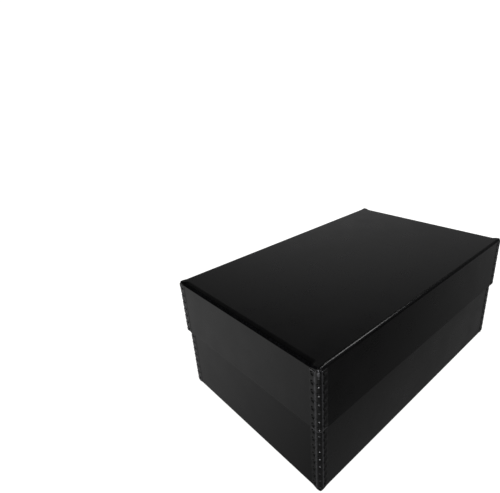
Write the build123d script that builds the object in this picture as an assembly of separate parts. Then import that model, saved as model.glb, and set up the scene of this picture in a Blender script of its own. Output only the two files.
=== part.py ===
from build123d import *
import os

# Archival box with a telescoping lid, closed. The tray and the lid are each one sheet of
# solid board, die-cut, scored and folded, and each of their upright corners is held by one
# stamped L-shaped steel edge whose prongs bite into both walls.
# Millimetres. Origin: middle of the underside. +X along the length, +Y to the back, +Z up.

# ---- overall sizes, over the lid ----
BOX_LENGTH = 311.0
BOX_WIDTH = 190.5
BOX_HEIGHT = 127.0  # floor to top of the closed lid
LID_DEPTH = 58.5

# ---- board ----
BOARD = 1.5  # thickness of the sheet
FOLD_OUTSIDE = 3.0  # radius of a scored fold, outside
FOLD_INSIDE = 0.7  # and inside, where the score lets it close up
CORNER_GAP = 0.2  # between the cut end of one wall and the inner face of the next

# ---- steel corner edges ----
STEEL = 0.3
EDGE_FLANK = 9.5  # from the corner line to the edge's outer border
EDGE_BEND = 1.2  # outside radius of the bend
EDGE_FROM_FOLD = 1.5  # end of the edge to the folded face (bottom of the base, top of the lid)
TONGUE_LENGTH = 2.0  # at that end the bend runs on past the flanks as a tongue
TONGUE_REACH = 2.8  # from the corner line to the tongue's sides
EDGE_FROM_RIM = 0.5  # other end of the edge to the rim of the wall
ROW_PITCH = 8.0  # one corner dimple and two prongs in each row
ROW_MARGIN = 4.0  # least distance from the end of an edge to its first row
DIMPLE_RADIUS = 1.7  # ball that presses the dimple into the bend
SCALLOP_RADIUS = 3.0
SCALLOP_DEPTH = 0.6
PRONG_FROM_CORNER = 5.8
PRONG_ROOT = 1.6
PRONG_TIP = 0.4
PRONG_BITE = 1.1  # how far a prong goes into the board

# ---- fits ----
LID_CLEARANCE = 0.5  # between the lid's walls and the base's steel edges, each side

DIAGONAL = Plane((0, 0, 0), z_dir=(1, -1, 0))  # an edge is the same on both sides of it


def folded_sheet(length, width, height):
    """One folded sheet, open at the top: panel and four walls, corners cut away for the folds."""
    outside = Pos(0, 0, height / 2) * Box(length, width, height)
    outside = fillet(outside.edges().group_by(Axis.Z)[0], FOLD_OUTSIDE)
    inside = Pos(0, 0, height / 2 + BOARD) * Box(length - 2 * BOARD, width - 2 * BOARD, height)
    inside = fillet(inside.edges().group_by(Axis.Z)[0], FOLD_INSIDE)
    notch = max(BOARD + CORNER_GAP, DIMPLE_RADIUS)  # the dimples' backs need room there too
    notch_foot = EDGE_FROM_FOLD - CORNER_GAP
    cut = Box(2 * notch, 2 * notch, height)
    corners = [
        Pos(x, y, notch_foot + height / 2) * cut
        for x in (-length / 2, length / 2)
        for y in (-width / 2, width / 2)
    ]
    return outside - inside - corners


def row_heights(edge_height):
    """Heights of the rows of dimples and prongs, centred on the edge."""
    count = int((edge_height - 2 * ROW_MARGIN) / ROW_PITCH) + 1
    first = (edge_height - (count - 1) * ROW_PITCH) / 2
    return [first + i * ROW_PITCH for i in range(count)]


def prongs(edge_height):
    """Prongs of one edge, from inside its steel into the board, in both flanks."""
    root, tip = STEEL / 2, STEEL + PRONG_BITE
    outline = make_face(
        Polyline(
            (PRONG_FROM_CORNER - PRONG_ROOT / 2, root),
            (PRONG_FROM_CORNER + PRONG_ROOT / 2, root),
            (PRONG_FROM_CORNER + PRONG_TIP / 2, tip),
            (PRONG_FROM_CORNER - PRONG_TIP / 2, tip),
            close=True,
        )
    )
    prong = extrude(outline, STEEL / 2, both=True)
    turned = mirror(prong, about=DIAGONAL)
    return [Pos(0, 0, z) * p for z in row_heights(edge_height) for p in (prong, turned)]


def steel_edge(edge_height):
    """One stamped edge standing on Z=0 with its corner line on the Z axis, flanks along +X and +Y."""
    square = Pos(EDGE_FLANK / 2, EDGE_FLANK / 2) * Rectangle(EDGE_FLANK, EDGE_FLANK)
    corner = square.vertices().sort_by_distance((0, 0))[0]
    filled = fillet(corner, EDGE_BEND)
    hollow = Pos(STEEL, STEEL) * square
    inner_corner = hollow.vertices().sort_by_distance((0, 0))[0]
    hollow = fillet(inner_corner, EDGE_BEND - STEEL)
    strip = extrude(filled - hollow, edge_height)
    wedge = extrude(filled, edge_height)

    rows = row_heights(edge_height)
    backs = [wedge & (Pos(0, 0, z) * Sphere(DIMPLE_RADIUS + STEEL)) for z in rows]
    strip = strip + backs + prongs(edge_height)
    dimples = [Pos(0, 0, z) * Sphere(DIMPLE_RADIUS) for z in rows]

    over = EDGE_FLANK - TONGUE_REACH
    flank_end = Pos(TONGUE_REACH + over / 2, 0, TONGUE_LENGTH / 2) * Box(over, 4 * STEEL, TONGUE_LENGTH)
    ends = [flank_end, mirror(flank_end, about=DIAGONAL)]

    scallop = Cylinder(SCALLOP_RADIUS, 4 * STEEL)
    reach = EDGE_FLANK + SCALLOP_RADIUS - SCALLOP_DEPTH
    scallops = []
    for z in [z + ROW_PITCH / 2 for z in rows[:-1]]:
        scallops.append(Pos(reach, 0, z) * Rot(90, 0, 0) * scallop)
        scallops.append(Pos(0, reach, z) * Rot(0, 90, 0) * scallop)
    return strip - dimples - ends - scallops


def at_corners(shape, length, width):
    """The shape, made for the corner line at the origin, at the four corners of a rectangle."""
    front_left = Pos(-length / 2, -width / 2, 0) * shape
    front_right = mirror(front_left, about=Plane.YZ)
    return {
        "front_left": front_left,
        "front_right": front_right,
        "back_left": mirror(front_left, about=Plane.XZ),
        "back_right": mirror(front_right, about=Plane.XZ),
    }


def tray(length, width, height):
    """A folded sheet and its four steel edges, open at the top; length and width over the steel."""
    edge_height = height - EDGE_FROM_FOLD - EDGE_FROM_RIM
    foot = Pos(0, 0, EDGE_FROM_FOLD)
    sheet = folded_sheet(length - 2 * STEEL, width - 2 * STEEL, height)
    bites = [
        bite
        for prong in prongs(edge_height)
        for bite in at_corners(foot * prong, length, width).values()
    ]
    return sheet - bites, at_corners(foot * steel_edge(edge_height), length, width)


# ---- lid, modelled open side up and then turned over ----
lid_board, lid_edges = tray(BOX_LENGTH, BOX_WIDTH, LID_DEPTH)
turn_over = Pos(0, 0, BOX_HEIGHT) * Rot(180, 0, 0)

# ---- base, as wide as the lid leaves room for; its rim carries the lid's top panel ----
inset = 2 * (STEEL + BOARD + LID_CLEARANCE)
base_board, base_edges = tray(BOX_LENGTH - inset, BOX_WIDTH - inset, BOX_HEIGHT - BOARD)

nodes = {"base_board": base_board, "lid_board": turn_over * lid_board}
for place, edge in base_edges.items():
    nodes["base_edge_" + place] = edge
# turning over about X swaps front and back
for place, edge in lid_edges.items():
    side, hand = place.split("_")
    other = {"front": "back", "back": "front"}[side]
    nodes["lid_edge_" + other + "_" + hand] = turn_over * edge

os.makedirs("parts", exist_ok=True)
for name, shape in nodes.items():
    export_step(shape, "parts/" + name + ".step")
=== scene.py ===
import math

import bmesh
import bpy
from bpy.props import FloatProperty, FloatVectorProperty, PointerProperty
from bpy.types import Operator, Panel, PropertyGroup
from mathutils import Matrix, Vector


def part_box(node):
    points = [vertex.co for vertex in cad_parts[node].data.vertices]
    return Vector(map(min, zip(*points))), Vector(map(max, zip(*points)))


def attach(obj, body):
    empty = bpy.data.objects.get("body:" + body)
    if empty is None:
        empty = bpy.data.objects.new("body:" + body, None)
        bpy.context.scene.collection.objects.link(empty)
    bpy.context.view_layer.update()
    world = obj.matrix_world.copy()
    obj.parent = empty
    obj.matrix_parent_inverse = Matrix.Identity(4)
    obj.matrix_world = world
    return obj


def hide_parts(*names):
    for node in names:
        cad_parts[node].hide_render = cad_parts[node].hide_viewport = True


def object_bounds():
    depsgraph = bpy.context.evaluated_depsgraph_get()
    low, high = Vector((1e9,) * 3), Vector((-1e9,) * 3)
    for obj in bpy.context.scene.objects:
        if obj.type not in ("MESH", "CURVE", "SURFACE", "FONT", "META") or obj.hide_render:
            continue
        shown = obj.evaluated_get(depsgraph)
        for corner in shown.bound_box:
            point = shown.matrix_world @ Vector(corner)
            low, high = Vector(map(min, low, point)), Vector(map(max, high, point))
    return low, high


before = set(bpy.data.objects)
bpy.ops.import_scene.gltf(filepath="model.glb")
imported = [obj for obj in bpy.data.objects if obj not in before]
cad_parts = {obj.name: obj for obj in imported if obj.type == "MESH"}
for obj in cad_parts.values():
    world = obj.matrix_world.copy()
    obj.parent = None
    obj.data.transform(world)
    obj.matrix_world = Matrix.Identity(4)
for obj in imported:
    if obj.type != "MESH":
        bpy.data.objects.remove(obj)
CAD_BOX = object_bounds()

bl_info = {
    "name": "Metal-edge archival box",
    "version": (1, 0, 0),
    "blender": (4, 5, 0),
    "location": "3D View > Sidebar > Archival Box",
    "description": "A black board box and its lift-off lid, held at the corners by stamped steel edges",
    "category": "Object",
}

MM = 0.001
PLACES = ("front_left", "front_right", "back_left", "back_right")

# ---- what the frame says ----
BASE_LOW, BASE_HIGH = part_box("base_board")
LID_LOW, LID_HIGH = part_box("lid_board")
BOARD = LID_HIGH.z - BASE_HIGH.z  # the lid's panel lies on the rim of the base's walls
LID_EDGE_LOW, LID_EDGE_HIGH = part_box("lid_edge_front_left")
FLANK = LID_EDGE_HIGH.x - LID_EDGE_LOW.x
STEEL = LID_LOW.x - LID_EDGE_LOW.x  # how far the steel stands in front of the board

WHITE = 1.1  # light of the ground and the air behind the box, a little over plain white
TOUCH = 1e-6  # closer than this is on the plane


def linear(code):
    """An sRGB hex colour as linear red, green, blue and alpha."""
    values = [int(code[i : i + 2], 16) / 255 for i in (1, 3, 5)]
    return [v / 12.92 if v <= 0.04045 else ((v + 0.055) / 1.055) ** 2.4 for v in values] + [1.0]


def ramp(value, low, high):
    """0 below low, 1 above high, and a smooth step between them."""
    t = min(max((value - low) / (high - low), 0.0), 1.0)
    return t * t * (3 - 2 * t)


# ---------------------------------------------------------------- settings


def distance(name, description, millimetres):
    return FloatProperty(
        name=name, description=description, default=millimetres * MM, unit="LENGTH", precision=5
    )


def tilt(name, description, degrees):
    return FloatProperty(
        name=name, description=description, default=math.radians(degrees), subtype="ANGLE"
    )


def share(name, description, value, **more):
    return FloatProperty(name=name, description=description, default=value, **more)


def colour(name, description, code):
    return FloatVectorProperty(
        name=name, description=description, default=linear(code), size=4, subtype="COLOR", min=0, max=1
    )


class BoardSettings(PropertyGroup):
    """The folded sheets."""

    short_roll: distance("Short fold roll", "How far in a short side's fold starts to roll over", 6.4)
    long_roll: distance("Long fold roll", "How far in a long side's fold starts to roll over", 2.8)
    wall_roll: distance("Wall roll", "How far a fold's roll runs on over the wall", 2.2)
    corner_roll: distance("Corner roll", "Roll of the folds where the steel edge pinches them", 1.2)
    pinch_start: distance("Pinch start", "From the corner to where a fold is pinched tight", 4.0)
    pinch_end: distance("Pinch end", "From the corner to where a fold has its full roll", 9.0)
    short_crease: share("Short crease", "Sharpness of a short fold's scored line", 0.42)
    long_crease: share("Long crease", "Sharpness of a long fold's scored line", 0.12)
    inside_roll: distance("Inside roll", "Roll of a fold's inside", 0.7)
    notch: distance("Corner notch", "From the corner to the cut end of a wall", 1.7)
    notch_foot: distance("Notch foot", "From the folded face to where the corner notch starts", 1.3)
    corner_round: distance("Corner round", "Radius of the board's corners in the steel's bend", 2.9)
    corner_play: distance("Corner play", "How far the board's corners lie inside that radius", 0.25)
    pressed: distance("Pressed in", "How far the board is pressed in under a steel edge", 0.7)
    arris: distance("Cut arris", "Wear of the cut edge's arris", 0.42)
    wall_bow: distance("Wall bow", "How far a wall draws in at the middle of its rim", 0.2)
    spring_out: tilt("Spring", "How far the walls lean out to their rim", 2.5)
    lid_sag: distance("Lid sag", "How far the middle of the lid's top sinks", 0.45)
    colour: colour("Board", "Face of the black solid board", "#121213")
    worn: colour("Worn board", "Board where the face is rubbed at folds and arrises", "#34343a")
    core: colour("Cut board", "Fibres of a cut edge", "#3a3a3d")


class SteelSettings(PropertyGroup):
    """The stamped corner edges."""

    pitch: distance("Row pitch", "From one row of dimples to the next", 8.0)
    margin: distance("Row margin", "Least distance from an end to the first row", 4.0)
    bend: distance("Bend radius", "Outside radius of the bend", 1.9)
    relief: distance("Relief", "How far the plain steel lies under its raised rims", 0.12)
    corner_dent: distance("Corner dent", "Radius of a dimple on the bend", 1.75)
    corner_depth: distance("Corner dent depth", "Depth of a dimple on the bend", 0.95)
    corner_dome: distance("Corner dome", "Height of the dome in the middle of that dimple", 0.25)
    flank_dent: distance("Flank dent", "Radius of a dimple on a flank", 1.95)
    flank_depth: distance("Flank dent depth", "Depth of a dimple on a flank", 0.8)
    flank_dome: distance("Flank dome", "Height of the dome in the middle of that dimple", 0.32)
    lip: distance("Lip", "Height of the burnished lip under a dimple on the bend", 0.3)
    bead: distance("Bead", "Height of the bead at the top of a lid edge's bend", 0.4)
    bead_place: distance("Bead place", "From the folded end to the middle of that bead", 2.6)
    burr: distance("Cut burr", "Rounding of the steel's cut edges", 0.06)
    flank_place: distance("Flank dent place", "From the corner to a flank's row of dimples", 6.0)
    scallop: distance("Scallop", "How far the border draws in between two rows", 0.5)
    tongue: distance("Tongue", "How far the bend runs on past the flanks at the folded end", 2.4)
    reach: distance("Reach", "How far the tongue's tip runs on over the fold", 0.9)
    grain: distance("Grid", "Spacing of the mesh's lines", 0.36)
    colour: colour("Enamel", "Black enamel on the steel", "#0e0e0f")
    # bare steel is also the colour of the painted sheen on the band beside the bend
    bare: colour("Bare steel", "Steel where the enamel is rubbed thin", "#a8a8ac")


class StageSettings(PropertyGroup):
    """Floor, light and camera."""

    floor: colour("Floor", "Pale paper floor", "#fbfbfa")
    floor_glow: share("Floor glow", "Light from below the translucent floor", 0.93)
    azimuth: tilt("Azimuth", "Camera's turn round the box", -40.51)
    elevation: tilt("Elevation", "Camera's tilt down", 22.88)
    roll: tilt("Roll", "Camera's roll", -3.56)
    lens: share("Lens", "Focal length in mm on a 36 mm sensor", 28.02, min=10)
    back: distance("Back", "Camera's distance from the box, along its view", 445.7)
    side: distance("Side", "Camera's place right of the box's middle", -84.9)
    rise: distance("Rise", "Camera's place above the box's middle", 71.2)
    shift: share("Shift", "Sideways lens shift, as a share of the frame", -0.05)


# Soft lights round the stage: strength, direction from +X and height in degrees, and how tight
SOFT_LIGHTS = (
    # behind the box
    (0.08, 167, 26, 12),
    (0.41, 141, -26, 12),
    (0.23, 116, -26, 12),
    (0.10, 103, -8, 12),
    (0.20, 51, 8, 12),
    (0.33, 51, -8, 12),
    (0.12, 45, -52, 12),
    # right of it
    (0.17, 26, 8, 12),
    (0.26, 0, -8, 12),
    (0.19, 0, -52, 12),
    (0.10, 355, -14, 20),
    (0.18, 315, 50, 12),
    # in front
    (0.16, 283, -8, 12),
    (0.34, 265, -10, 14),
    (0.11, 270, -52, 12),
    (0.10, 270, 50, 12),
    (0.13, 231, -8, 12),
    # left of it
    (0.21, 225, 50, 12),
    (0.34, 219, -26, 12),
    (0.65, 188, -27, 32),
    (0.13, 180, 50, 12),
)
# Lamps: name, way from the box, size in metres, watts
SOFTBOXES = (
    ("right softbox", (0.547, -0.116, 0.829), 0.32, 1.5),
    ("front softbox", (-0.435, -0.335, 0.83), 0.45, 3.0),
)
SOFTBOX_DISTANCE = 1.5


# ---------------------------------------------------------------- meshes


SHARP = math.radians(38)  # faces that meet at more than this have an edge between them


def mesh_object(bm, name, materials):
    """A bmesh as an object at the origin, smooth apart from its sharp edges."""
    mesh = bpy.data.meshes.new(name)
    for face in bm.faces:
        face.smooth = True
    bm.to_mesh(mesh)
    bm.free()
    mesh.set_sharp_from_angle(angle=SHARP)
    for material in materials:
        mesh.materials.append(material)
    obj = bpy.data.objects.new(name, mesh)
    bpy.context.scene.collection.objects.link(obj)
    return obj


def cut_lines(bm, axis, places):
    """Adds a line of edges right round the mesh at each place along an axis."""
    direction = Vector([1.0 if i == axis else 0.0 for i in range(3)])
    for place in places:
        geometry = bm.verts[:] + bm.edges[:] + bm.faces[:]
        bmesh.ops.bisect_plane(
            bm, geom=geometry, dist=TOUCH / 10, plane_co=direction * place, plane_no=direction
        )


def rolled(run, panel_roll, wall_roll, on_wall, crease):
    """How far a point lies in from the wall's plane and up from the panel's, run from the fold."""
    roll = wall_roll if on_wall else panel_roll
    if run >= roll:
        return (0.0, run) if on_wall else (run, 0.0)
    t = 0.5 + 0.5 * run / roll if on_wall else 0.5 - 0.5 * run / roll
    belly = 2 * t * (1 - t)
    wall_crease = 0.03  # the roll leaves the wall almost square
    return panel_roll * ((1 - t) ** 2 + belly * wall_crease), wall_roll * (t**2 + belly * crease)


class Sheet:
    """One folded sheet lying on Z=0, open at the top."""

    # the mesh's lines, in mm from a fold and from the rim, and the spacing of those between
    FOLD_LINES = (
        0.6, 1.2, 1.7, 2.2, 2.8, 3.1, 3.7, 4.4, 5.2,
        5.9, 6.4, 6.7, 7.2, 7.8, 8.4, 9.0, 11.0, 14.0,
    )
    RIM_LINES = (0.3, 1.2, 2.5)
    FIELD = 12 * MM
    # where the board comes up again from under a steel edge: from its corner, its fold and its rim
    PRESS_SIDE = (7.2 * MM, 8.4 * MM)
    PRESS_FOLD = (2.5 * MM, 4.0 * MM)
    PRESS_RIM = (0.2 * MM, 1.2 * MM)
    # how far the rub spreads from the fold and the rim
    FOLD_RUB = (0.5 * MM, 3.5 * MM)
    RIM_RUB = (0, 1.2 * MM)

    def __init__(self, settings, size, sag):
        self.s, self.half = settings, (size.x / 2, size.y / 2)
        self.height, self.sag = size.z, sag

    def inner_run(self, run):
        """Where a line of the outer skin lies on the inner one, which starts a board's thickness in."""
        notch = self.s.notch
        return BOARD + run * (notch - BOARD) / notch if run < notch else run

    def place(self, flat, inner):
        """The folded place of a point of the sharp-edged outer skin, on the outer or the inner skin."""
        s = self.s
        runs = [self.half[i] - abs(flat[i]) for i in (0, 1)]
        wall = [run < TOUCH for run in runs]
        skin = BOARD if inner else 0.0
        inset, lift = [0.0, 0.0], []
        for i in (0, 1):
            along = runs[1 - i]
            pinch = ramp(along, s.pinch_start, s.pinch_end)
            full = s.short_roll if i == 0 else s.long_roll
            crease = 0.0 if inner else s.short_crease if i == 0 else s.long_crease
            if inner:
                panel_roll = wall_roll = s.inside_roll
            else:
                panel_roll = s.corner_roll + (full - s.corner_roll) * pinch
                wall_roll = s.corner_roll + (s.wall_roll - s.corner_roll) * pinch
            run = flat[2] if wall[i] else runs[i]
            run = self.inner_run(run) if inner else run
            if wall[i] or flat[2] < TOUCH:
                across, up = rolled(run - skin, panel_roll, wall_roll, wall[i], crease)
                inset[i] = across + skin
                lift.append(up + skin)
            else:
                inset[i] = run
        point = [math.copysign(self.half[i] - inset[i], flat[i]) for i in (0, 1)]
        return self.settle(Vector((*point, max(lift))), flat, runs, wall, inner)

    def settle(self, point, flat, runs, wall, inner):
        """Bows the walls, sinks the panel and presses the board in under the steel edges."""
        s = self.s
        rise = ramp(flat[2], 0, self.height)
        middle = [1 - (flat[i] / self.half[i]) ** 2 for i in (0, 1)]
        for i in (0, 1):
            if wall[i]:
                point[i] -= math.copysign(s.wall_bow * rise * middle[1 - i], flat[i])
                if not inner and not wall[1 - i]:
                    press = (1 - ramp(runs[1 - i], *self.PRESS_SIDE)) * ramp(flat[2], *self.PRESS_FOLD)
                    press *= ramp(self.height - flat[2], *self.PRESS_RIM)
                    point[i] -= math.copysign(s.pressed * press, flat[i])
        past = [abs(point[i]) - self.half[i] + s.corner_round for i in (0, 1)]
        if not inner and min(past) > 0:
            over = max(math.hypot(*past) / (s.corner_round - s.corner_play), 1)
            for i in (0, 1):
                point[i] = math.copysign(self.half[i] - s.corner_round + past[i] / over, point[i])
        if not any(wall):
            point.z += self.sag * (middle[0] * middle[1]) ** 2
        return point

    def blank(self):
        """The sharp-edged outer skin, ruled into a grid, with the blank's corners cut away."""
        bm = bmesh.new()
        bmesh.ops.create_cube(bm, size=1.0)
        bmesh.ops.scale(bm, verts=bm.verts, vec=(2 * self.half[0], 2 * self.half[1], self.height))
        bmesh.ops.translate(bm, verts=bm.verts, vec=(0, 0, self.height / 2))
        mouth = max(bm.faces, key=lambda f: f.calc_center_median().z)
        bmesh.ops.delete(bm, geom=[mouth], context="FACES_ONLY")
        near = [d * MM for d in self.FOLD_LINES]
        for axis, half in enumerate(self.half):
            inside = half - near[-1]
            count = int(2 * inside / self.FIELD)
            field = [inside * (2 * i / count - 1) for i in range(1, count)]
            ends = [half - d for d in near]
            cut_lines(bm, axis, ends + [-end for end in ends] + field)
        upper = self.height - near[-1]
        count = max(int(upper / self.FIELD), 2)
        field = [near[-1] + upper * i / count for i in range(1, count)]
        rim = [self.height - d * MM for d in self.RIM_LINES]
        cut_lines(bm, 2, near + [self.s.notch_foot] + field + rim)
        gone = [f for f in bm.faces if self.in_notch(f.calc_center_median())]
        bmesh.ops.delete(bm, geom=gone, context="FACES")
        return bm

    def build(self):
        """The sheet with its thickness, its folds and its worn arrises."""
        s, bm = self.s, self.blank()
        flat = bm.verts.layers.float_vector.new("flat")
        wear_and_sheen = bm.verts.layers.float.new("wear_and_sheen")
        spring = bm.verts.layers.float.new("spring")
        for v in bm.verts:
            v[flat] = v.co
        bmesh.ops.recalc_face_normals(bm, faces=bm.faces)
        bmesh.ops.solidify(bm, geom=bm.faces[:], thickness=BOARD)
        inner = {v for v in bm.verts if (v.co - v[flat]).length > BOARD / 2}
        cut = {f for f in bm.faces if 0 < sum(v in inner for v in f.verts) < len(f.verts)}
        for face in cut:
            face.material_index = 1
        for v in bm.verts:
            v[wear_and_sheen] = self.wear_and_sheen(v[flat], v in inner)
            v[spring] = s.spring_out * v[flat].z
            v.co = self.place(v[flat].copy(), v in inner)
        arrises = [e for e in bm.edges if sum(f in cut for f in e.link_faces) == 1]
        bmesh.ops.bevel(
            bm, geom=arrises, offset=s.arris, segments=3, profile=0.5, affect="EDGES", material=-1
        )
        for v in bm.verts:  # the bevel's corners stay within the sheet
            for i, half in enumerate(self.half):
                v.co[i] = min(max(v.co[i], -half), half)
        bmesh.ops.recalc_face_normals(bm, faces=bm.faces)
        bm.verts.layers.float_vector.remove(bm.verts.layers.float_vector["flat"])
        return bm

    def in_notch(self, centre):
        """Whether a face of the sharp-edged skin lies where the blank's corner is cut away."""
        near = [self.half[i] - abs(centre[i]) for i in (0, 1)]
        return centre.z > self.s.notch_foot and max(near) < self.s.notch

    def wear_and_sheen(self, flat, inner):
        """How rubbed the board is: most on the fold's roll and the rim."""
        if inner:
            return 0.0
        runs = [self.half[i] - abs(flat[i]) for i in (0, 1)]
        at_fold = 1 - ramp(min(runs) + flat[2], *self.FOLD_RUB)
        at_rim = 1 - ramp(self.height - flat[2], *self.RIM_RUB)
        return max(at_fold, at_rim)


def row_heights(s, length):
    """Heights of the rows of dimples, centred on the edge."""
    count = int((length - 2 * s.margin) / s.pitch) + 1
    first = (length - (count - 1) * s.pitch) / 2
    return [first + i * s.pitch for i in range(count)]


# A dimple's shape, in its own radii from its middle
DENT_WALL = 0.6  # below 1 its wall is steep and its floor flat
DOME_REACH = 0.5  # border of the dome that the punch leaves
CREST = 1.12  # crest of the rim that it throws up
FLANK_CREST, CORNER_CREST = 0.17, 0.15  # half widths of that crest
CORNER_SQUASH = 0.9  # a dimple on the bend is a little wider than it is high
CORNER_RELIEF = 0.4  # and the bend stretches flat most of its rim
LIP_DROP = 1.15  # from its middle to the burnished lip below it
# Half widths, across the steel and along it
BEAD = (1.2 * MM, 2.9 * MM)
LIP = (0.8 * MM, 0.42 * MM)
# How far a flank's corners are rounded off, and the height that takes
END_ROUND, END_HEIGHT = 0.9 * MM, 2.2 * MM
# Where the tongue's sides lie, from the corner, and how far up from the end its outline reaches
TONGUE_SIDE = (1.6 * MM, 2.9 * MM)
TONGUE_PULL = 6 * MM
# The tongue's tip is bent in over the fold: how deep, from how high, and where it fades to the sides
TIP_BEND, TIP_HEIGHT, TIP_SIDE = 0.6 * MM, 1.6 * MM, (1.5 * MM, 3.5 * MM)
# How wide the enamel is rubbed at the borders, ends and domes, and where a band beside the bend is
# painted paler as a painted sheen
BORDER_RUB, END_RUB = 0.5 * MM, (0.4 * MM, 1.2 * MM)
SHEEN_BAND_START, SHEEN_BAND_END = (2.2 * MM, 2.8 * MM), (4.0 * MM, 5.0 * MM)
DOME_RUB = (0.2, 0.5)
CUT_ANGLE = math.radians(60)  # the steel's cut edges are sharper than this


def dimple(rho, depth, dome):
    """How deep a dimple is at rho radii from its middle."""
    return depth * max(1 - rho**2, 0) ** DENT_WALL - dome * max(1 - (rho / DOME_REACH) ** 2, 0)


def raised_rim(rho, width):
    """How high a dimple's rim stands, 1 at its crest."""
    return math.exp(-(((rho - CREST) / width) ** 2))


def steel_strip(s, length, down, flips):
    """One stamped edge: corner line on the Z axis, flanks along +X and +Y, folded end at Z=0, then
    flipped. On it the way down to the floor is down, 1 or -1."""
    arc = s.bend * math.pi / 4
    centre = s.relief + s.bend
    across = 2 * (FLANK - centre + arc)
    flank_run = s.flank_place - centre + arc
    rows = row_heights(s, length)
    bm = bmesh.new()
    bmesh.ops.create_grid(
        bm, x_segments=2 * round(across / s.grain / 2), y_segments=round(length / s.grain), size=0.5
    )
    wear_and_sheen = bm.verts.layers.float.new("wear_and_sheen")
    outward = Vector((-1, -1, 0)).normalized()
    for v in bm.verts:
        u = math.copysign(abs(2 * v.co.x) ** 1.3, v.co.x) * across / 2  # closer lines near the bend
        z = (v.co.y + 0.5) * length
        side = abs(u)
        row = min(rows, key=lambda r: abs(r - z))
        end = min(z, length - z)
        # scalloped borders, rounded ends and the tongue
        border = ramp(side, across / 2 - 2 * MM, across / 2)
        if rows[0] < z < rows[-1]:
            side -= s.scallop * (0.5 - 0.5 * math.cos(2 * math.pi * (z - row) / s.pitch)) * border
        side -= END_ROUND * border * max(1 - end / END_HEIGHT, 0) ** 2
        pull = s.tongue * ramp(side, *TONGUE_SIDE)
        z += (pull - s.reach) * max(1 - z / TONGUE_PULL, 0) ** 2
        # the dimples on the flanks and on the bend
        rho = math.hypot(side - flank_run, z - row) / s.flank_dent
        ring = raised_rim(rho, FLANK_CREST)
        height = s.relief * ring - dimple(rho, s.flank_depth, s.flank_dome)
        rho_c = math.hypot(side, (z - row) / CORNER_SQUASH) / s.corner_dent
        ring_c = raised_rim(rho_c, CORNER_CREST)
        dent = dimple(rho_c, s.corner_depth, s.corner_dome)
        bead = 0.0
        if down > 0 and row == rows[0]:  # a lid edge has a bead there in place of a dimple
            dent = ring_c = 0.0
            bead = max(1 - ((z - s.bead_place) / BEAD[1]) ** 2 - (side / BEAD[0]) ** 2, 0) ** 0.5
        below = down * (z - row) - LIP_DROP * s.corner_dent
        lip = math.exp(-((below / LIP[1]) ** 2) - (side / LIP[0]) ** 2)
        tip = max(1 - z / TIP_HEIGHT, 0) ** 2 * (1 - ramp(side, *TIP_SIDE))
        # the L-shaped section
        bent = math.copysign(min(side, arc), u) / arc
        angle = math.radians(225 + 45 * bent)
        normal = Vector((math.cos(angle), math.sin(angle), 0))
        run = max(side - arc, 0)
        point = Vector((centre, centre, z)) + normal * (s.bend + height)
        point += Vector((run, 0, 0)) if u > 0 else Vector((0, run, 0))
        raised = CORNER_RELIEF * s.relief * ring_c + s.bead * bead + s.lip * lip
        v.co = point + outward * (raised - dent - TIP_BEND * tip)
        # where the enamel is rubbed, and how much, and the painted sheen on a band beside the bend
        rim = ramp(side, across / 2 - BORDER_RUB, across / 2)
        ends = 1 - ramp(end, *END_RUB)
        # painted sheen: a band beside the bend is drawn as paler, more metallic steel for the light the
        # bend shows there, not for wear
        sheen_band = ramp(side, *SHEEN_BAND_START) * (1 - ramp(side, *SHEEN_BAND_END))
        domes = 1 - ramp(min(rho_c, rho), *DOME_RUB)
        rubs_and_sheen = (0.35 * ring, 1.6 * lip, 0.64 * sheen_band, 0.5 * rim, ends, 1.4 * bead, 0.4 * domes)
        v[wear_and_sheen] = min(max(rubs_and_sheen), 1.0)
    bmesh.ops.scale(bm, verts=bm.verts, vec=flips)
    bmesh.ops.recalc_face_normals(bm, faces=bm.faces)
    face = max(bm.faces, key=lambda f: f.calc_center_median().x * flips[0])
    if face.normal.y * flips[1] > 0:  # this flank's outside faces away from the other flank
        bmesh.ops.reverse_faces(bm, faces=bm.faces)
    bmesh.ops.solidify(bm, geom=bm.faces[:], thickness=STEEL - s.relief)
    cut = [e for e in bm.edges if e.calc_face_angle(0.0) > CUT_ANGLE]
    bmesh.ops.bevel(
        bm, geom=cut, offset=s.burr, segments=2, profile=0.5, affect="EDGES", material=-1
    )
    return bm


# ---------------------------------------------------------------- materials


def node(tree, kind, links=(), **settings):
    """Adds a node with its settings and links: (input, source socket) or (input, value)."""
    made = tree.nodes.new(kind)
    for name, value in settings.items():
        setattr(made, name, value)
    for name, value in links:
        if isinstance(value, bpy.types.NodeSocket):
            tree.links.new(value, made.inputs[name])
        else:
            made.inputs[name].default_value = value
    return made


def material(name):
    """An empty material and its node tree."""
    made = bpy.data.materials.new(name)
    made.use_nodes = True
    made.node_tree.nodes.clear()
    return made, made.node_tree


def finish_material(tree, shader):
    node(tree, "ShaderNodeOutputMaterial", [("Surface", shader.outputs[0])])


def grey(value):
    return (value, value, value, 1)


def stops(ramp_node, *pairs):
    """Sets a colour ramp's two stops: (place, colour)."""
    for element, (place, value) in zip(ramp_node.color_ramp.elements, pairs):
        element.position, element.color = place, value
    return ramp_node


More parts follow.
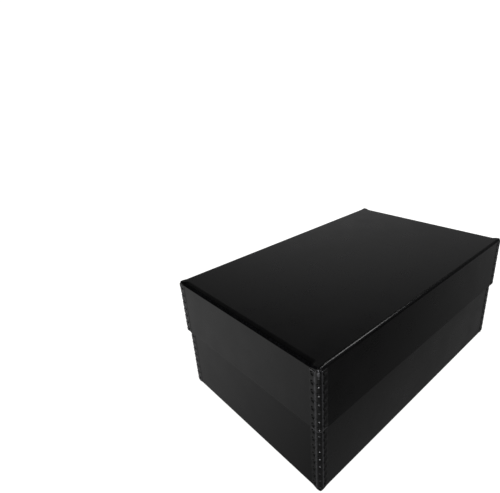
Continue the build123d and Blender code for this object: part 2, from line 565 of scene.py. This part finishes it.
def board_face(settings):
    """Black solid board: wood pulp dyed through and calendered, so its face is close and satin, with
    fine fibres lying along the sheet, soft clouds in its gloss, and a greyer rub on its folds."""
    made, tree = material("black solid board")
    place = node(tree, "ShaderNodeTexCoord").outputs["Object"]
    # fibres are 0.03 mm across and 1 to 3 mm long; drawn 0.35 mm across, or none would show
    lie = (1 / (3 * MM), 1 / (0.35 * MM), 1 / (0.5 * MM))
    along = node(tree, "ShaderNodeMapping", [("Vector", place), ("Scale", lie)])
    fibre = node(tree, "ShaderNodeTexNoise", [
        ("Vector", along.outputs[0]), ("Scale", 1.0), ("Detail", 3.0), ("Roughness", 0.6),
    ])
    # clouds of denser pulp are some 25 mm across
    cloud = node(tree, "ShaderNodeTexNoise", [
        ("Vector", place), ("Scale", 1 / (25 * MM)), ("Detail", 4.0), ("Roughness", 0.55),
    ])
    both = [(0, cloud.outputs["Fac"]), (1, fibre.outputs["Fac"])]
    shade = node(tree, "ShaderNodeMath", both, operation="ADD")
    half = node(tree, "ShaderNodeMath", [(0, shade.outputs[0]), (1, 0.5)], operation="MULTIPLY")
    dark, light = ([k * c for c in settings.colour[:3]] + [1] for k in (0.75, 1.25))
    base = node(tree, "ShaderNodeValToRGB", [("Fac", half.outputs[0])])
    stops(base, (0.35, dark), (0.65, light))
    # rubbed spots are some 1.5 mm long
    rub_and_sheen = node(tree, "ShaderNodeAttribute", attribute_name="wear_and_sheen")
    spot = node(tree, "ShaderNodeTexNoise", [
        ("Vector", place), ("Scale", 1 / (1.5 * MM)), ("Detail", 4.0),
    ])
    both = [(0, rub_and_sheen.outputs["Fac"]), (1, spot.outputs["Fac"])]
    spots = node(tree, "ShaderNodeMath", both, operation="MULTIPLY")
    worn = node(tree, "ShaderNodeValToRGB", [("Fac", spots.outputs[0])])
    stops(worn, (0.42, grey(0.0)), (0.75, grey(0.5)))
    mixed = node(tree, "ShaderNodeMix", [
        ("Factor", worn.outputs[0]), ("A", base.outputs[0]), ("B", list(settings.worn)),
    ], data_type="RGBA")
    # denser pulp is duller, and folding burnishes the face along the scored line
    satin = node(tree, "ShaderNodeMapRange", [
        ("Value", shade.outputs[0]), ("From Min", 0.7), ("From Max", 1.3),
        ("To Min", 0.26), ("To Max", 0.36),
    ])
    gloss = node(tree, "ShaderNodeMath", [
        (0, rub_and_sheen.outputs["Fac"]), (1, -0.14), (2, satin.outputs[0]),
    ], operation="MULTIPLY_ADD")
    # the walls lean out a little to their rim, so the lid's lean one way and the base's the other
    spring = node(tree, "ShaderNodeAttribute", attribute_name="spring")
    lean = node(tree, "ShaderNodeBump", [
        ("Height", spring.outputs["Fac"]), ("Strength", 1.0), ("Distance", 1.0),
    ])
    bump = node(tree, "ShaderNodeBump", [
        ("Height", fibre.outputs["Fac"]), ("Strength", 0.25), ("Distance", 0.02 * MM),
        ("Normal", lean.outputs[0]),
    ])
    shader = node(tree, "ShaderNodeBsdfPrincipled", [
        ("Base Color", mixed.outputs["Result"]), ("Roughness", gloss.outputs[0]),
        ("Normal", bump.outputs[0]), ("IOR", 1.48),
    ])
    finish_material(tree, shader)
    return made


def board_cut(settings):
    """Cut edge of the same board: open fibre ends in thin plies, rougher and greyer than the face."""
    made, tree = material("cut solid board")
    place = node(tree, "ShaderNodeTexCoord").outputs["Object"]
    # fibre ends stand in bundles of some 0.4 mm
    fibre = node(tree, "ShaderNodeTexNoise", [
        ("Vector", place), ("Scale", 1 / (0.4 * MM)), ("Detail", 5.0), ("Roughness", 0.7),
    ])
    base = node(tree, "ShaderNodeValToRGB", [("Fac", fibre.outputs["Fac"])])
    stops(base, (0.3, list(settings.colour)), (0.75, list(settings.core)))
    bump = node(tree, "ShaderNodeBump", [
        ("Height", fibre.outputs["Fac"]), ("Strength", 0.6), ("Distance", 0.08 * MM),
    ])
    shader = node(tree, "ShaderNodeBsdfPrincipled", [
        ("Base Color", base.outputs[0]), ("Normal", bump.outputs[0]), ("Roughness", 0.8),
        ("IOR", 1.48),
    ])
    finish_material(tree, shader)
    return made


def enamelled_steel(settings):
    """Tinplate steel with black stoving enamel, stamped after it was coated: glossy in the dents, with
    the coat rubbed thin to grey steel on raised rims and borders, and the same grey steel on a band
    beside the bend as a painted sheen."""
    made, tree = material("enamelled steel")
    place = node(tree, "ShaderNodeTexCoord").outputs["Object"]
    # orange peel of the enamel is about 0.6 mm
    peel = node(tree, "ShaderNodeTexNoise", [
        ("Vector", place), ("Scale", 1 / (0.6 * MM)), ("Detail", 3.0),
    ])
    # rubbed spots are some 0.9 mm across
    # this attribute carries real rubs and also a painted sheen: the band beside the bend, made paler
    # and more metallic
    rub_and_sheen = node(tree, "ShaderNodeAttribute", attribute_name="wear_and_sheen")
    spot = node(tree, "ShaderNodeTexNoise", [
        ("Vector", place), ("Scale", 1 / (0.9 * MM)), ("Detail", 5.0), ("Roughness", 0.65),
    ])
    both = [(0, rub_and_sheen.outputs["Fac"]), (1, spot.outputs["Fac"])]
    spots = node(tree, "ShaderNodeMath", both, operation="MULTIPLY")
    worn = node(tree, "ShaderNodeValToRGB", [("Fac", spots.outputs[0])])
    stops(worn, (0.16, grey(0.0)), (0.6, grey(0.9)))
    base = node(tree, "ShaderNodeMix", [
        ("Factor", worn.outputs[0]), ("A", list(settings.colour)), ("B", list(settings.bare)),
    ], data_type="RGBA")
    gloss = node(tree, "ShaderNodeMapRange", [
        ("Value", peel.outputs["Fac"]), ("From Min", 0.3), ("From Max", 0.7),
        ("To Min", 0.19), ("To Max", 0.29),
    ])
    bump = node(tree, "ShaderNodeBump", [
        ("Height", peel.outputs["Fac"]), ("Strength", 0.2), ("Distance", 0.03 * MM),
    ])
    shader = node(tree, "ShaderNodeBsdfPrincipled", [
        ("Base Color", base.outputs["Result"]), ("Metallic", worn.outputs[0]),
        ("Roughness", gloss.outputs[0]), ("Normal", bump.outputs[0]), ("IOR", 1.52),
    ])
    finish_material(tree, shader)
    return made


def once(name, make, settings):
    """The material of that name, made the first time it is asked for."""
    return bpy.data.materials.get(name) or make(settings)


# ---------------------------------------------------------------- operators


def sheet_object(context, name, low, high, turned, sag):
    """A folded sheet in its place, and turned over for the lid."""
    s = context.scene.archival_board
    bm = Sheet(s, high - low, sag).build()
    if turned:
        bmesh.ops.rotate(bm, verts=bm.verts, cent=(0, 0, 0), matrix=Matrix.Rotation(math.pi, 3, "X"))
        bmesh.ops.translate(bm, verts=bm.verts, vec=(0, 0, high.z))
    else:
        bmesh.ops.translate(bm, verts=bm.verts, vec=(0, 0, low.z))
    return mesh_object(
        bm, name, [once("black solid board", board_face, s), once("cut solid board", board_cut, s)]
    )


def edge_objects(context, kind, body, turned):
    """The four steel edges of the base or the lid, each in place of its node."""
    s = context.scene.archival_steel
    for place in PLACES:
        name = f"{kind}_edge_{place}"
        low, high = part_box(name)
        flipped = (place.endswith("right"), place.startswith("back"), turned)
        flips = [-1 if flip else 1 for flip in flipped]
        bm = steel_strip(s, high.z - low.z, 1 if turned else -1, flips)
        corner = [high[i] if flip else low[i] for i, flip in enumerate(flipped)]
        bmesh.ops.translate(bm, verts=bm.verts, vec=corner)
        piece = mesh_object(bm, f"{kind}_steel_{place}", [once("enamelled steel", enamelled_steel, s)])
        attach(piece, body)
        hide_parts(name)


class ARCHIVAL_OT_base_board(Operator):
    """Makes the base: one folded sheet of black solid board"""

    bl_idname = "archival.base_board"
    bl_label = "Base Board"

    def execute(self, context):
        piece = sheet_object(context, "base_sheet", BASE_LOW, BASE_HIGH, False, 0.0)
        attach(piece, "base")
        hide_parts("base_board")
        return {"FINISHED"}


class ARCHIVAL_OT_lid_board(Operator):
    """Makes the lid: one folded sheet of black solid board"""

    bl_idname = "archival.lid_board"
    bl_label = "Lid Board"

    def execute(self, context):
        sag = context.scene.archival_board.lid_sag
        piece = sheet_object(context, "lid_sheet", LID_LOW, LID_HIGH, True, sag)
        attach(piece, "lid")
        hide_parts("lid_board")
        return {"FINISHED"}


class ARCHIVAL_OT_base_edges(Operator):
    """Makes the base's four stamped steel edges"""

    bl_idname = "archival.base_edges"
    bl_label = "Base Steel Edges"

    def execute(self, context):
        edge_objects(context, "base", "base", False)
        return {"FINISHED"}


class ARCHIVAL_OT_lid_edges(Operator):
    """Makes the lid's four stamped steel edges"""

    bl_idname = "archival.lid_edges"
    bl_label = "Lid Steel Edges"

    def execute(self, context):
        edge_objects(context, "lid", "lid", True)
        return {"FINISHED"}


class ARCHIVAL_OT_stage(Operator):
    """Makes the floor, the light and the camera"""

    bl_idname = "archival.stage"
    bl_label = "Stage"

    def execute(self, context):
        s = context.scene.archival_stage
        self.floor(s)
        self.surroundings(context)
        self.lights(context)
        self.camera(context, s)
        return {"FINISHED"}

    def floor(self, s):
        bm = bmesh.new()
        bmesh.ops.create_circle(bm, cap_ends=True, segments=96, radius=6.0)  # metres
        made, tree = material("pale paper floor")
        place = node(tree, "ShaderNodeTexCoord").outputs["Object"]
        # the tooth of the paper is some 0.8 mm
        tooth = node(tree, "ShaderNodeTexNoise", [
            ("Vector", place), ("Scale", 1 / (0.8 * MM)), ("Detail", 3.0),
        ])
        bump = node(tree, "ShaderNodeBump", [
            ("Height", tooth.outputs["Fac"]), ("Strength", 0.1), ("Distance", 0.05 * MM),
        ])
        away = node(tree, "ShaderNodeVectorMath", [(0, place)], operation="LENGTH")
        glow = node(tree, "ShaderNodeMapRange", [
            ("Value", away.outputs["Value"]), ("From Min", 0.2), ("From Max", 0.5),
            ("To Min", s.floor_glow), ("To Max", WHITE),
        ])
        shader = node(tree, "ShaderNodeBsdfPrincipled", [
            ("Base Color", list(s.floor)), ("Roughness", 0.85), ("Normal", bump.outputs[0]),
            ("Emission Color", list(s.floor)), ("Emission Strength", glow.outputs[0]),
            ("Specular IOR Level", 0.0),
        ])
        finish_material(tree, shader)
        floor = mesh_object(bm, "floor", [made])
        floor.visible_glossy = floor.visible_diffuse = False  # the box is lit by the surroundings alone

    def surroundings(self, context):
        """White behind the box; big, soft, dim lights round it, which its gloss shows."""
        world = bpy.data.worlds.new("studio")
        world.use_nodes = True
        tree = world.node_tree
        tree.nodes.clear()
        way = node(tree, "ShaderNodeTexCoord").outputs["Generated"]
        total = 0.0
        for strength, azimuth, elevation, focus in SOFT_LIGHTS:
            azimuth, elevation = math.radians(azimuth), math.radians(elevation)
            level = math.cos(elevation)
            aim = (math.cos(azimuth) * level, math.sin(azimuth) * level, math.sin(elevation))
            facing = node(tree, "ShaderNodeVectorMath", [(0, way), (1, aim)], operation="DOT_PRODUCT")
            front = [(0, facing.outputs["Value"]), (1, 0.0)]
            ahead = node(tree, "ShaderNodeMath", front, operation="MAXIMUM")
            fall = node(tree, "ShaderNodeMath", [(0, ahead.outputs[0]), (1, focus)], operation="POWER")
            lit = [(0, fall.outputs[0]), (1, strength), (2, total)]
            total = node(tree, "ShaderNodeMath", lit, operation="MULTIPLY_ADD").outputs[0]
        camera = node(tree, "ShaderNodeLightPath").outputs["Is Camera Ray"]
        seen = [("Factor", camera), ("A", total), ("B", WHITE)]
        strength = node(tree, "ShaderNodeMix", seen, data_type="FLOAT")
        light = node(tree, "ShaderNodeBackground", [
            ("Color", grey(1.0)), ("Strength", strength.outputs[0]),
        ])
        node(tree, "ShaderNodeOutputWorld", [("Surface", light.outputs[0])])
        context.scene.world = world

    def lights(self, context):
        for name, way, size, power in SOFTBOXES:
            light = bpy.data.lights.new(name, "AREA")
            light.shape, light.size, light.energy = "SQUARE", size, power
            lamp = bpy.data.objects.new(name, light)
            lamp.location = Vector(way).normalized() * SOFTBOX_DISTANCE
            lamp.rotation_euler = (-lamp.location).to_track_quat("-Z", "Y").to_euler()
            lamp.visible_camera = False
            context.scene.collection.objects.link(lamp)

    def camera(self, context, s):
        data = bpy.data.cameras.new("camera")
        data.sensor_width, data.lens, data.shift_x = 36.0, s.lens, s.shift
        data.clip_start, data.clip_end = 0.01, 50.0
        camera = bpy.data.objects.new("camera", data)
        back = Vector((
            math.sin(s.azimuth) * math.cos(s.elevation),
            -math.cos(s.azimuth) * math.cos(s.elevation),
            math.sin(s.elevation),
        ))
        level = (-back).cross(Vector((0, 0, 1))).normalized()
        upright = level.cross(-back)
        right = math.cos(s.roll) * level + math.sin(s.roll) * upright
        up = -math.sin(s.roll) * level + math.cos(s.roll) * upright
        middle = Vector((0, 0, CAD_BOX[1].z / 2))
        place = middle + back * s.back + right * s.side + up * s.rise
        turn = Matrix((right, up, back)).transposed().to_4x4()
        camera.matrix_world = Matrix.Translation(place) @ turn
        context.scene.collection.objects.link(camera)
        context.scene.camera = camera
        context.scene.view_settings.view_transform = "Standard"


class ARCHIVAL_PT_panel(Panel):
    """Lists the pieces to make"""

    bl_idname = "ARCHIVAL_PT_panel"
    bl_label = "Archival Box"
    bl_space_type = "VIEW_3D"
    bl_region_type = "UI"
    bl_category = "Archival Box"

    def draw(self, context):
        for operator in OPERATORS:
            self.layout.operator(operator.bl_idname)


OPERATORS = (
    ARCHIVAL_OT_base_board,
    ARCHIVAL_OT_base_edges,
    ARCHIVAL_OT_lid_board,
    ARCHIVAL_OT_lid_edges,
    ARCHIVAL_OT_stage,
)
SETTINGS = {
    "archival_board": BoardSettings,
    "archival_steel": SteelSettings,
    "archival_stage": StageSettings,
}
CLASSES = (*SETTINGS.values(), *OPERATORS, ARCHIVAL_PT_panel)


def register():
    for cls in CLASSES:
        bpy.utils.register_class(cls)
    for name, group in SETTINGS.items():
        setattr(bpy.types.Scene, name, PointerProperty(type=group))


def unregister():
    for name in SETTINGS:
        delattr(bpy.types.Scene, name)
    for cls in reversed(CLASSES):
        bpy.utils.unregister_class(cls)


def main():
    register()
    bpy.ops.archival.base_board()
    bpy.ops.archival.base_edges()
    bpy.ops.archival.lid_board()
    bpy.ops.archival.lid_edges()
    bpy.ops.archival.stage()


if __name__ == "__main__":
    main()
